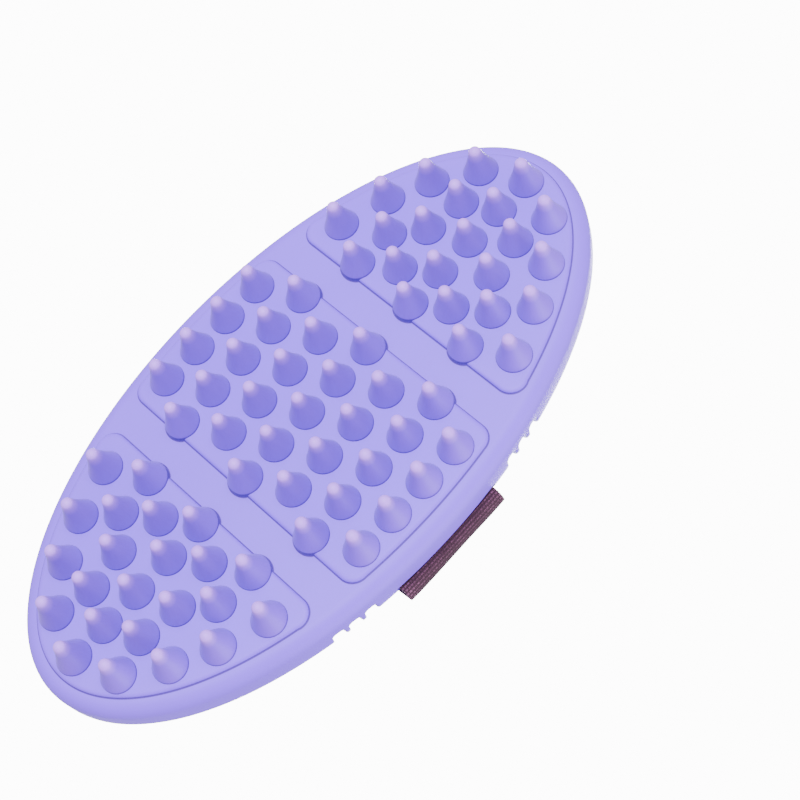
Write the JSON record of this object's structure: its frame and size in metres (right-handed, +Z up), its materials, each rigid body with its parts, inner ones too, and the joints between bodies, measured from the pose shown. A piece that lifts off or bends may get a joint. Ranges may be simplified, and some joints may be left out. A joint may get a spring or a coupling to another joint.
{
  "type": "rubber curry brush",
  "caption": "Oval rubber grooming brush with cone teeth on raised pads, two grooved flex zones and a hook-and-loop hand strap over the back.",
  "frame": {"origin": "under the middle of the oval, on the plane that the cone tips rest on", "axes": "+X along the oval towards the front end, +Y across it towards the side where the coarse webbing folds, +Z up from the cone tips to the hand strap"},
  "size_m": [0.1652, 0.0881, 0.0348],
  "materials": {
    "lavender_rubber": "soft matt lavender rubber",
    "lavender_panel": "smooth matt lavender plastic",
    "plum_webbing": "coarse ribbed elastic webbing",
    "loop_webbing": "finer loop-faced elastic webbing",
    "hook_tape": "hook tape",
    "dark_thread": "sewing thread"
  },
  "bodies": {
    "centre": {"centre_rubber_body": "lavender_rubber", "centre_cones": "lavender_rubber", "centre_back_panel": "lavender_panel", "front_flex_bellows": "lavender_rubber", "rear_flex_bellows": "lavender_rubber", "loop_strap_tail": "loop_webbing", "top_strap_tail": "plum_webbing"},
    "front_end": {"front_rubber_body": "lavender_rubber", "front_cones": "lavender_rubber", "front_back_panel": "lavender_panel"},
    "rear_end": {"rear_rubber_body": "lavender_rubber", "rear_cones": "lavender_rubber", "rear_back_panel": "lavender_panel"},
    "top_strap": {"top_strap": "plum_webbing", "hook_patch": "hook_tape", "end_stitching": "dark_thread", "patch_stitching": "dark_thread"},
    "loop_strap": {"loop_strap": "loop_webbing"}
  },
  "joints": [
    {"name": "front_flex", "type": "hinge", "parent": "centre", "child": "front_end", "pos_m": [0.02705, 0, 0.0132], "axis": [0, 1, 0], "range_deg": [-8, 15], "stiffness_Nm_per_rad": 0.4, "deforming": ["front_flex_bellows"]},
    {"name": "rear_flex", "type": "hinge", "parent": "centre", "child": "rear_end", "pos_m": [-0.02705, 0, 0.0132], "axis": [0, -1, 0], "range_deg": [-8, 15], "stiffness_Nm_per_rad": 0.4, "deforming": ["rear_flex_bellows"]},
    {"name": "top_strap_peel", "type": "hinge", "parent": "centre", "child": "top_strap", "pos_m": [0, 0.0414, 0.0211], "axis": [-1, 0, 0], "range_deg": [0, 140], "deforming": ["top_strap_tail"]},
    {"name": "loop_strap_lift", "type": "hinge", "parent": "centre", "child": "loop_strap", "pos_m": [0, -0.0414, 0.0211], "axis": [1, 0, 0], "range_deg": [0, 28], "deforming": ["loop_strap_tail"]}
  ],
  "couplings": [
    {"joint": "loop_strap_lift", "follows": "top_strap_peel", "ratio": 0.2}
  ]
}
